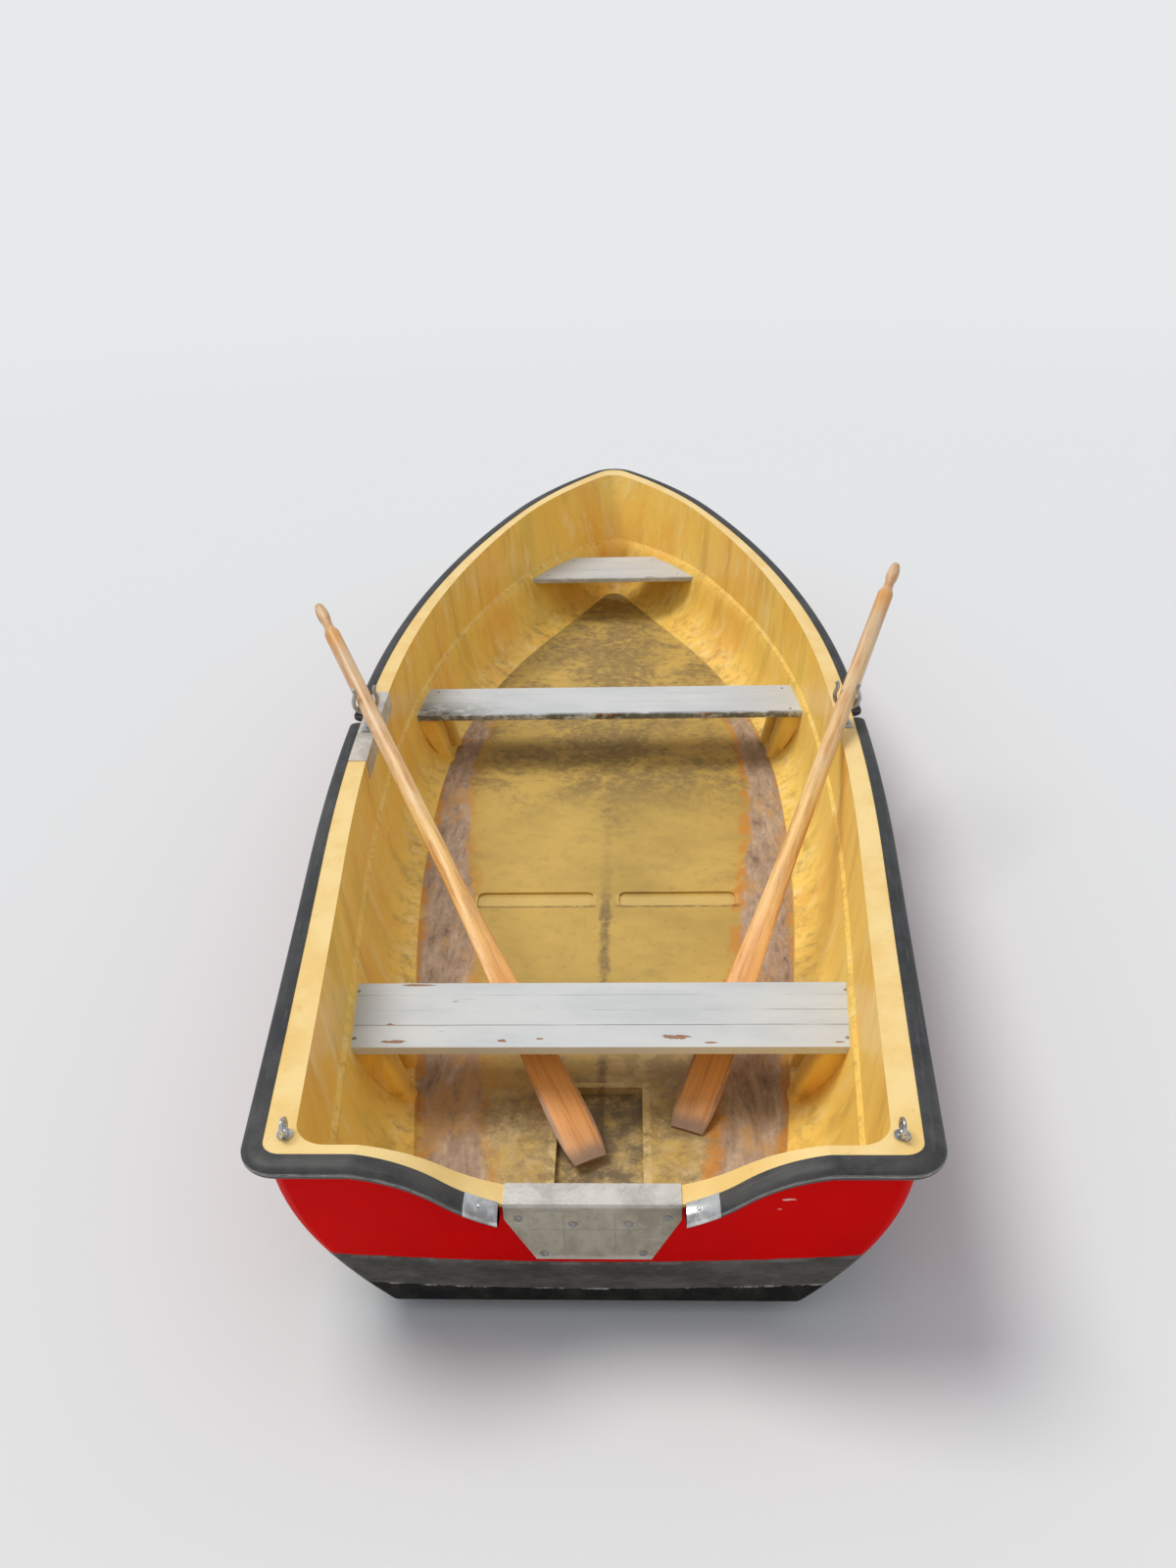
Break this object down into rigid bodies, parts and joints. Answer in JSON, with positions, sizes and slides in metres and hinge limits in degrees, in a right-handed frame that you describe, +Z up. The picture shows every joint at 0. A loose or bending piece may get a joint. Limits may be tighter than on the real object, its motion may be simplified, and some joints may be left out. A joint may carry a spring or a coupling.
{
  "type": "rowing boat",
  "caption": "Open moulded rowing boat with seats, a rubber fender round the rim and oars that swivel and slide in their horn rowlocks.",
  "frame": {"origin": "on the centreline amidships at the waterline", "axes": "+X to starboard, +Y towards the bow, +Z up"},
  "size_m": [1.8687, 4.4859, 0.8697],
  "materials": {
    "hull": "red gelcoat, worn",
    "liner": "yellow gelcoat, weathered",
    "rubber": "matt, scuffed",
    "steel": "polished stainless",
    "sheet_metal": "dull sheet",
    "seat_paint": "grey paint, chipped",
    "galvanised": "galvanised",
    "oar_wood": "varnished pine"
  },
  "bodies": {
    "hull": {"hull_shell": "hull", "inner_liner": "liner", "fender": "rubber", "fender_cap_port": "steel", "fender_cap_starboard": "steel", "transom_plate": "sheet_metal", "gunwale_sheet": "sheet_metal", "aft_seat": "seat_paint", "mid_seat": "seat_paint", "bow_seat": "seat_paint", "stern_eye_port": "steel", "stern_eye_starboard": "steel", "bow_eye": "steel", "rowlock_socket_port": "galvanised", "rowlock_socket_starboard": "galvanised"},
    "port_rowlock": {"rowlock_port": "galvanised"},
    "starboard_rowlock": {"rowlock_starboard": "galvanised"},
    "port_oar": {"oar_port": "oar_wood"},
    "starboard_oar": {"oar_starboard": "oar_wood"}
  },
  "joints": [
    {"name": "port_rowlock_swivel", "type": "hinge", "parent": "hull", "child": "port_rowlock", "pos_m": [-0.702, -0.488, 0.46624], "axis": [0, 0, 1], "range_deg": [-9, 1.5]},
    {"name": "port_oar_slide", "type": "slide", "parent": "port_rowlock", "child": "port_oar", "axis": [-0.4342, 0.848, 0.3039], "range_m": [0, 0.65]},
    {"name": "starboard_rowlock_swivel", "type": "hinge", "parent": "hull", "child": "starboard_rowlock", "pos_m": [0.702, -0.488, 0.46324], "axis": [0, 0, 1], "range_deg": [-1.5, 4.5]},
    {"name": "starboard_oar_slide", "type": "slide", "parent": "starboard_rowlock", "child": "starboard_oar", "axis": [0.359, 0.8719, 0.333], "range_m": [0, 0.65]}
  ]
}
